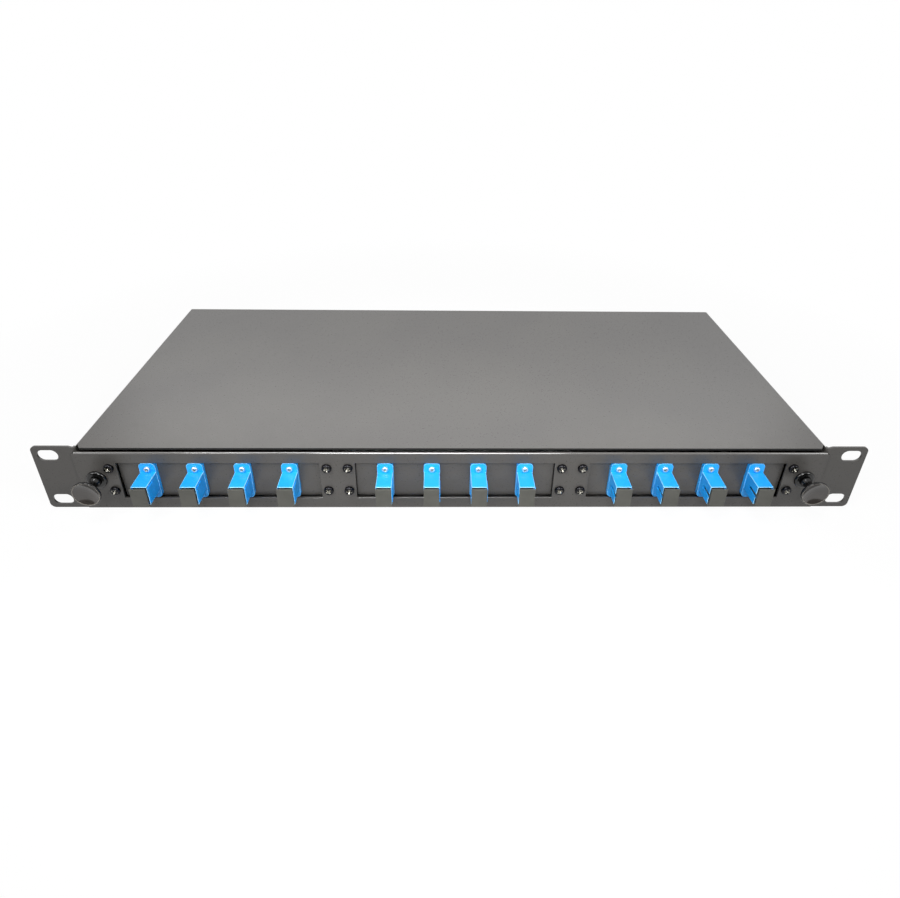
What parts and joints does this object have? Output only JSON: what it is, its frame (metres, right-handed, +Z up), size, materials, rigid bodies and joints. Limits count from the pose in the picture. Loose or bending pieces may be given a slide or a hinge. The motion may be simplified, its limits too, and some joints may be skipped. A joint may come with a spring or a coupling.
{
  "type": "optical distribution frame",
  "caption": "Rack-mount optical distribution frame: a flat black sleeve with ears, a sliding drawer with capped fibre adapters in rows, and a pull latch at each end.",
  "frame": {"origin": "centre of the four ear slots, on the front face of the ears", "axes": "+X to the viewer's right along the rack, +Y from the front to the back, +Z up"},
  "size_m": [0.4826, 0.2208, 0.044],
  "materials": {
    "coated_steel": "fine-textured black powder coat",
    "blue_plastic": "moulded, satin",
    "grey_cap": "soft matte",
    "black_nylon": "moulded, glossy",
    "nickel": "nickel plated",
    "black_screw": "black plated",
    "tray_plastic": "moulded, light grey",
    "black_rubber_plastic": "moulded, dull black"
  },
  "bodies": {
    "sleeve": {"sleeve_shell": "coated_steel", "rear_plate": "coated_steel", "floor_plate": "coated_steel", "floor_screws": "black_screw", "latch_keeper_left": "coated_steel", "latch_keeper_right": "coated_steel", "cable_bushings": "black_rubber_plastic"},
    "drawer": {"adapter_01": "blue_plastic", "adapter_02": "blue_plastic", "adapter_03": "blue_plastic", "adapter_04": "blue_plastic", "adapter_05": "blue_plastic", "adapter_06": "blue_plastic", "adapter_07": "blue_plastic", "adapter_08": "blue_plastic", "adapter_09": "blue_plastic", "adapter_10": "blue_plastic", "adapter_11": "blue_plastic", "adapter_12": "blue_plastic", "adapter_plate_left": "coated_steel", "adapter_plate_middle": "coated_steel", "adapter_plate_right": "coated_steel", "drawer_tray": "coated_steel", "dust_cap_01": "grey_cap", "dust_cap_02": "grey_cap", "dust_cap_03": "grey_cap", "dust_cap_04": "grey_cap", "dust_cap_05": "grey_cap", "dust_cap_06": "grey_cap", "dust_cap_07": "grey_cap", "dust_cap_08": "grey_cap", "dust_cap_09": "grey_cap", "dust_cap_10": "grey_cap", "dust_cap_11": "grey_cap", "dust_cap_12": "grey_cap", "fibre_clip_front_left": "black_rubber_plastic", "fibre_clip_front_right": "black_rubber_plastic", "fibre_clip_rear_left": "black_rubber_plastic", "fibre_clip_rear_right": "black_rubber_plastic", "flange_screws": "nickel", "front_panel": "coated_steel", "latch_grommets": "black_nylon", "plate_screws": "black_screw", "plate_standoffs": "nickel", "rear_dust_caps": "grey_cap", "splice_tray": "tray_plastic", "splice_tray_lid": "tray_plastic", "splice_tray_screws": "black_screw"},
    "left_latch": {"latch_plunger_left": "black_nylon"},
    "right_latch": {"latch_plunger_right": "black_nylon"}
  },
  "joints": [
    {"name": "drawer_slide", "type": "slide", "parent": "sleeve", "child": "drawer", "axis": [0, -1, 0], "range_m": [0, 0.15]},
    {"name": "left_latch_pull", "type": "slide", "parent": "drawer", "child": "left_latch", "axis": [0, -1, 0], "range_m": [0, 0.006]},
    {"name": "right_latch_pull", "type": "slide", "parent": "drawer", "child": "right_latch", "axis": [0, -1, 0], "range_m": [0, 0.006]}
  ]
}
